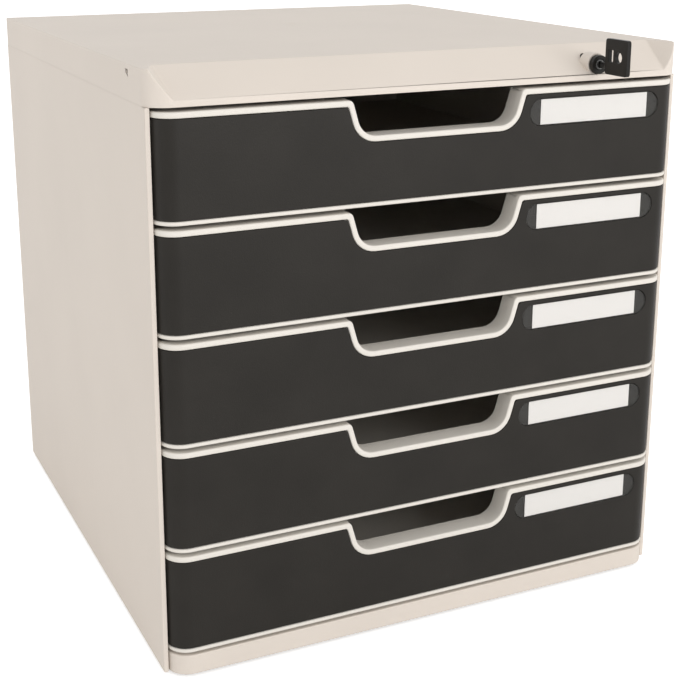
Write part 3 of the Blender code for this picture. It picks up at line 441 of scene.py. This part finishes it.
def lock_plastic(colour):
    material, nodes, links, shader = new_material("black_lock", shade(colour, 0.5), 0.3)
    shader.inputs["Specular IOR Level"].default_value = 0.2
    grain = add_noise(nodes, links, 2500, 2)
    vary_roughness(nodes, links, shader, grain, 0.25, 0.38)
    grain_bump(nodes, links, shader, grain, 0.00005, 0.2)
    return material


def label_paper(colour):
    material, nodes, links, shader = new_material("card_sheet", colour, 0.8)
    fibre = add_noise(nodes, links, 900, 4, (1, 1, 3))
    tint(nodes, links, shader, fibre, shade(colour, 0.985), shade(colour, 1.01))
    grain_bump(nodes, links, shader, fibre, 0.00003, 0.3)
    return material


def clear_plastic():
    material, nodes, links, shader = new_material("clear_strip", (0.3, 0.3, 0.29), 0.08)
    shader.inputs["Alpha"].default_value = 0.05
    material.surface_render_method = "BLENDED"
    ripple = add_noise(nodes, links, 120, 1)
    grain_bump(nodes, links, shader, ripple, 0.00004, 0.15)
    return material


def plated_steel(colour):
    material, nodes, links, shader = new_material("zinc_steel", colour, 0.32)
    shader.inputs["Metallic"].default_value = 1
    drawn = add_noise(nodes, links, 900, 3, (1, 0.08, 1))
    vary_roughness(nodes, links, shader, drawn, 0.26, 0.42)
    grain_bump(nodes, links, shader, drawn, 0.00004, 0.3)
    return material


def burnished_steel(colour):
    material, nodes, links, shader = new_material("dark_steel", shade(colour, 0.25), 0.3)
    shader.inputs["Metallic"].default_value = 1
    drawn = add_noise(nodes, links, 1400, 3, (1, 0.1, 1))
    tint(nodes, links, shader, drawn, shade(colour, 0.18), shade(colour, 0.3))
    vary_roughness(nodes, links, shader, drawn, 0.24, 0.4)
    grain_bump(nodes, links, shader, drawn, 0.00003, 0.3)
    return material


def foot_rubber(colour):
    material, nodes, links, shader = new_material("rubber_pad", colour, 0.8)
    dust = add_noise(nodes, links, 400, 4)
    tint(nodes, links, shader, dust, shade(colour, 0.8), shade(colour, 1.5))
    grain_bump(nodes, links, shader, dust, 0.0001, 0.4)
    return material


def finish_material(name, maker, *values):
    """A finish by name, made once."""
    return bpy.data.materials.get(name) or maker(*values)


def shell_finish(context):
    return finish_material("moulded_shell", shell_plastic, tuple(context.scene.cabinet_colours.shell))


def tray_finish(context):
    colour = tuple(context.scene.cabinet_colours.tray)
    return finish_material("moulded_tray", shell_plastic, colour, "moulded_tray")


def front_finish(context):
    return finish_material("black_front", front_plastic, tuple(context.scene.cabinet_colours.front))


def lock_finish(context):
    return finish_material("black_lock", lock_plastic, tuple(context.scene.cabinet_colours.front))


def steel_finish(context):
    return finish_material("zinc_steel", plated_steel, tuple(context.scene.cabinet_colours.steel))


def dark_steel_finish(context):
    return finish_material("dark_steel", burnished_steel, tuple(context.scene.cabinet_colours.steel))


class OBJECT_OT_cabinet_shell(bpy.types.Operator):
    """Build the side panels, base, back panel and top cover"""
    bl_idname = "object.cabinet_shell"
    bl_label = "Shell"

    def execute(self, context):
        sizes = context.scene.cabinet_sizes
        finish_here = shell_finish(context)
        outer_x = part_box("right_side_panel")[1].x
        base_low, base_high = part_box("base_panel")
        base_centre = (base_low + base_high) / 2
        rear_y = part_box("top_cover")[1].y
        seam_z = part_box("top_cover")[0].z
        top_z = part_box("top_cover")[1].z
        hole = Vector((0, FRONT_Y + PIN_HOLE_SETBACK, top_z - PIN_HOLE_DROP))
        lock_low, lock_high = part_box("lock_barrel")
        lock_axis = Vector(((lock_low.x + lock_high.x) / 2, (lock_low.z + lock_high.z) / 2))
        lock_reach = (lock_high.x - lock_low.x) / 2 + 3 * sizes.shell_edge

        def panel_widths(edge):
            outside = all(abs(vert.co.x) > outer_x - NEAR for vert in edge.verts)
            if outside and all(vert.co.z > seam_z - 10 * NEAR for vert in edge.verts):
                return 0
            if outside and all(vert.co.y > rear_y - NEAR for vert in edge.verts):
                return sizes.rear_corner
            return sizes.shell_edge if outside else sizes.small_edge

        def base_widths(edge):
            front = all(vert.co.y < base_low.y + FRONT_BEND for vert in edge.verts)
            outward = any(abs(face.normal.z) < 0.5
                          and face.normal.xy.dot((face.calc_center_median() - base_centre).xy) > 0
                          for face in edge.link_faces)
            return sizes.shell_edge if front and outward else sizes.small_edge

        def cover_widths(edge):
            middle = (edge.verts[0].co + edge.verts[1].co) / 2
            if (Vector((middle.x, middle.z)) - lock_axis).length < lock_reach:
                return sizes.seam_edge
            side = abs(middle.x) > outer_x - PANEL_REACH
            apart = Vector((middle.y, middle.z)) - Vector((hole.y, hole.z))
            if side and apart.length < PIN_HOLE_REACH and edge.calc_length() < HOLE_EDGE_LENGTH:
                return 0
            if middle.z < seam_z + NEAR:
                return sizes.seam_edge if middle.y < FRONT_Y + FRONT_BEND else 0
            if abs(middle.x) > outer_x - NEAR and middle.y > rear_y - NEAR:
                return sizes.rear_corner
            return sizes.shell_edge

        widths = {"left_side_panel": panel_widths, "right_side_panel": panel_widths,
                  "base_panel": base_widths, "back_panel": panel_widths}
        for node, choose in widths.items():
            piece = softened(node, f"{node}_moulding", finish_here, sizes.small_edge, 2, choose)
            finish(piece, "cabinet", "shell_plastic", node)
        along, upwards = Vector((0, PIN_HOLE_REACH, 0)), Vector((0, 0, PIN_HOLE_REACH))
        cuts = [(hole + sign * reach, reach) for reach in (along, upwards) for sign in (-1, 1)]
        piece = softened("top_cover", "top_cover_moulding", finish_here, sizes.seam_edge, 3,
                         cover_widths, cuts)
        for vert in piece.data.vertices:
            if vert.co.z < seam_z + NEAR / 4 and abs(vert.co.x) > outer_x - 30 * NEAR:
                vert.co.z -= SEAM_DROP
        finish(piece, "cabinet", "shell_plastic", "top_cover")
        mark_place = Vector((MARK_X, FRONT_Y + MARK_SETBACK, top_z))
        mark = gate_mark(sizes.gate_mark, mark_place, finish_here)
        finish(mark, "cabinet", "shell_plastic")
        return {"FINISHED"}


class OBJECT_OT_cabinet_trays(bpy.types.Operator):
    """Build the five trays with their rims and finger notches"""
    bl_idname = "object.cabinet_trays"
    bl_label = "Trays"

    def execute(self, context):
        sizes = context.scene.cabinet_sizes
        finish_here = tray_finish(context)
        outer_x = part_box("tray_1")[1].x

        def rim_widths(edge):
            front = all(vert.co.y < FRONT_Y + FRONT_BEND for vert in edge.verts)
            level = min(vert.co.y for vert in edge.verts) < FRONT_Y + RIM_LEVEL
            wrapped = max(abs(vert.co.x) for vert in edge.verts) > outer_x - FRONT_BEND
            return sizes.rim_edge if front and (level or wrapped) else sizes.small_edge

        first = softened("tray_1", "tray_1_moulding", finish_here, sizes.small_edge, 3, rim_widths)
        finish_stack(first, "tray", "moulding", "shell_plastic", finish_here)
        return {"FINISHED"}


class OBJECT_OT_cabinet_fronts(bpy.types.Operator):
    """Build the five black front panels"""
    bl_idname = "object.cabinet_fronts"
    bl_label = "Front panels"

    def execute(self, context):
        sizes = context.scene.cabinet_sizes
        black = front_finish(context)
        first = softened("front_panel_1", "front_panel_1_moulding", black, sizes.front_edge)
        finish_stack(first, "front_panel", "moulding", "black_plastic", black)
        return {"FINISHED"}


class OBJECT_OT_cabinet_labels(bpy.types.Operator):
    """Build the label cards and their clear strips"""
    bl_idname = "object.cabinet_labels"
    bl_label = "Labels"

    def execute(self, context):
        paper = finish_material("card_sheet", label_paper, tuple(context.scene.cabinet_colours.card))
        clear = finish_material("clear_strip", clear_plastic)
        card = softened("label_card_1", "label_card_1_sheet", paper, CARD_EDGE)
        finish_stack(card, "label_card", "sheet", "label_paper", paper)
        strip = softened("label_window_1", "label_window_1_strip", clear, STRIP_EDGE)
        finish_stack(strip, "label_window", "strip", "clear_plastic", clear)
        return {"FINISHED"}


class OBJECT_OT_cabinet_lock(bpy.types.Operator):
    """Build the lock, its bar with hooks, and the key"""
    bl_idname = "object.cabinet_lock"
    bl_label = "Lock and key"

    def execute(self, context):
        edge = context.scene.cabinet_sizes.lock_edge
        black, steel, shell = lock_finish(context), steel_finish(context), shell_finish(context)
        dark = dark_steel_finish(context)
        for node, material, body, slot in (
                ("lock_barrel", black, "cabinet", "black_plastic"),
                ("lock_nut", steel, "cabinet", "plated_steel"),
                ("lock_core", dark, "key", "plated_steel"), ("lock_cam", steel, "key", "plated_steel"),
                ("cam_screw", steel, "key", "plated_steel"), ("key_blade", dark, "key", "plated_steel"),
                ("key_head", black, "key", "black_plastic"), ("lock_bar", steel, "lock_bar", "plated_steel"),
                ("bar_guide_upper", shell, "cabinet", "shell_plastic"),
                ("bar_guide_lower", shell, "cabinet", "shell_plastic")):
            piece = softened(node, f"{node}_finished", material, edge)
            finish(piece, body, slot, node)
        return {"FINISHED"}


class OBJECT_OT_cabinet_feet(bpy.types.Operator):
    """Build the four rubber feet"""
    bl_idname = "object.cabinet_feet"
    bl_label = "Feet"

    def execute(self, context):
        rubber = finish_material("rubber_pad", foot_rubber, tuple(context.scene.cabinet_colours.rubber))
        sizes = context.scene.cabinet_sizes
        tree = foot_tread_tree()
        for corner in ("front_left", "front_right", "rear_left", "rear_right"):
            node = f"foot_{corner}"
            low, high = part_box(node)
            piece = softened(node, f"{node}_pad", rubber, sizes.shell_edge / 2, 3)
            for vert in piece.data.vertices:
                vert.co.z = max(vert.co.z, sizes.tread_radius)
            centre = ((low.x + high.x) / 2, (low.y + high.y) / 2, sizes.tread_radius)
            grown(piece, tree, {"Rings": 4, "Spacing": sizes.tread_spacing, "Ring Radius": sizes.tread_radius,
                                "Centre": centre, "Finish": rubber})
            finish(piece, "cabinet", "foot_rubber", node)
        return {"FINISHED"}


class OBJECT_OT_cabinet_stage(bpy.types.Operator):
    """Add the floor, the lights, the world and the camera"""
    bl_idname = "object.cabinet_stage"
    bl_label = "Stage"

    def execute(self, context):
        settings = context.scene.cabinet_stage
        add_floor(context)
        add_world(context, settings.ambient)
        add_area("front_light", FRONT_LIGHT_PLACE, FRONT_LIGHT_AIM, FRONT_LIGHT_SIZE, settings.front_light)
        add_area("side_light", SIDE_LIGHT_PLACE, SIDE_LIGHT_AIM, SIDE_LIGHT_SIZE, settings.side_light)
        add_camera(context, settings.lens)
        context.scene.view_settings.view_transform = "Standard"
        return {"FINISHED"}


def add_floor(context):
    shape = bmesh.new()
    bmesh.ops.create_grid(shape, x_segments=1, y_segments=1, size=FLOOR_SIZE)
    mesh = bpy.data.meshes.new("floor")
    shape.to_mesh(mesh)
    shape.free()
    floor = bpy.data.objects.new("floor", mesh)
    context.scene.collection.objects.link(floor)
    material, nodes, links, shader = new_material("floor_white", (0.9, 0.9, 0.9), 0.9)
    shader.inputs["Specular IOR Level"].default_value = 0
    glow = nodes.new("ShaderNodeEmission")
    seen = nodes.new("ShaderNodeLightPath")
    total = nodes.new("ShaderNodeAddShader")
    strength = nodes.new("ShaderNodeMath")
    strength.operation = "MULTIPLY"
    strength.inputs[1].default_value = 0.5
    links.new(seen.outputs["Is Camera Ray"], strength.inputs[0])
    links.new(strength.outputs["Value"], glow.inputs["Strength"])
    links.new(shader.outputs["BSDF"], total.inputs[0])
    links.new(glow.outputs["Emission"], total.inputs[1])
    links.new(total.outputs["Shader"], nodes["Material Output"].inputs["Surface"])
    mesh.materials.append(material)


def add_world(context, ambient):
    world = bpy.data.worlds.new("studio")
    world.use_nodes = True
    context.scene.world = world
    nodes, links = world.node_tree.nodes, world.node_tree.links
    background = nodes["Background"]
    background.inputs["Color"].default_value = (1, 1, 1, 1)
    path = nodes.new("ShaderNodeLightPath")
    seen = nodes.new("ShaderNodeMath")
    seen.operation = "MAXIMUM"
    seen_too = nodes.new("ShaderNodeMath")
    seen_too.operation = "MAXIMUM"
    strength = nodes.new("ShaderNodeMapRange")
    strength.inputs["To Min"].default_value = ambient
    strength.inputs["To Max"].default_value = 1
    links.new(path.outputs["Is Camera Ray"], seen.inputs[0])
    links.new(path.outputs["Is Transmission Ray"], seen.inputs[1])
    links.new(seen.outputs["Value"], seen_too.inputs[0])
    links.new(path.outputs["Is Glossy Ray"], seen_too.inputs[1])
    links.new(seen_too.outputs["Value"], strength.inputs["Value"])
    links.new(strength.outputs["Result"], background.inputs["Strength"])


def add_area(name, place, target, size, power):
    data = bpy.data.lights.new(name, "AREA")
    data.shape = "SQUARE"
    data.size = size
    data.energy = power
    light = bpy.data.objects.new(name, data)
    bpy.context.scene.collection.objects.link(light)
    light.location = place
    light.rotation_euler = (Vector(target) - Vector(place)).to_track_quat("-Z", "Y").to_euler()
    return light


def add_camera(context, lens):
    data = bpy.data.cameras.new("camera")
    data.sensor_width = 36
    data.lens = lens
    data.shift_x = CAMERA_SHIFT_X
    data.shift_y = CAMERA_SHIFT_Y
    data.clip_start = 0.01
    camera = bpy.data.objects.new("camera", data)
    context.scene.collection.objects.link(camera)
    level = math.cos(CAMERA_ELEVATION)
    aim = Vector((math.sin(CAMERA_AZIMUTH) * level, math.cos(CAMERA_AZIMUTH) * level,
                  math.sin(CAMERA_ELEVATION)))
    camera.location = (CAMERA_X, FRONT_Y - CAMERA_DISTANCE, CAMERA_Z)
    camera.rotation_euler = aim.to_track_quat("-Z", "Y").to_euler()
    context.scene.camera = camera


class VIEW3D_PT_drawer_cabinet(bpy.types.Panel):
    bl_label = "Drawer Cabinet"
    bl_space_type = "VIEW_3D"
    bl_region_type = "UI"
    bl_category = "Drawer Cabinet"

    def draw(self, context):
        scene = context.scene
        for group in (scene.cabinet_sizes, scene.cabinet_colours, scene.cabinet_stage):
            for name in group.__annotations__:
                self.layout.prop(group, name)
        for operator in OPERATORS:
            self.layout.operator(operator.bl_idname)


GROUPS = (CabinetSizes, CabinetColours, CabinetStage)
OPERATORS = (OBJECT_OT_cabinet_shell, OBJECT_OT_cabinet_trays, OBJECT_OT_cabinet_fronts,
             OBJECT_OT_cabinet_labels, OBJECT_OT_cabinet_lock, OBJECT_OT_cabinet_feet,
             OBJECT_OT_cabinet_stage)
CLASSES = GROUPS + OPERATORS + (VIEW3D_PT_drawer_cabinet,)


def register():
    for item in CLASSES:
        bpy.utils.register_class(item)
    bpy.types.Scene.cabinet_sizes = bpy.props.PointerProperty(type=CabinetSizes)
    bpy.types.Scene.cabinet_colours = bpy.props.PointerProperty(type=CabinetColours)
    bpy.types.Scene.cabinet_stage = bpy.props.PointerProperty(type=CabinetStage)


def unregister():
    for name in ("cabinet_sizes", "cabinet_colours", "cabinet_stage"):
        delattr(bpy.types.Scene, name)
    for item in reversed(CLASSES):
        bpy.utils.unregister_class(item)


def main():
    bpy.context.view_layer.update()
    register()
    bpy.ops.object.cabinet_shell()
    bpy.ops.object.cabinet_trays()
    bpy.ops.object.cabinet_fronts()
    bpy.ops.object.cabinet_labels()
    bpy.ops.object.cabinet_lock()
    bpy.ops.object.cabinet_feet()
    bpy.ops.object.cabinet_stage()


if __name__ == "__main__":
    main()
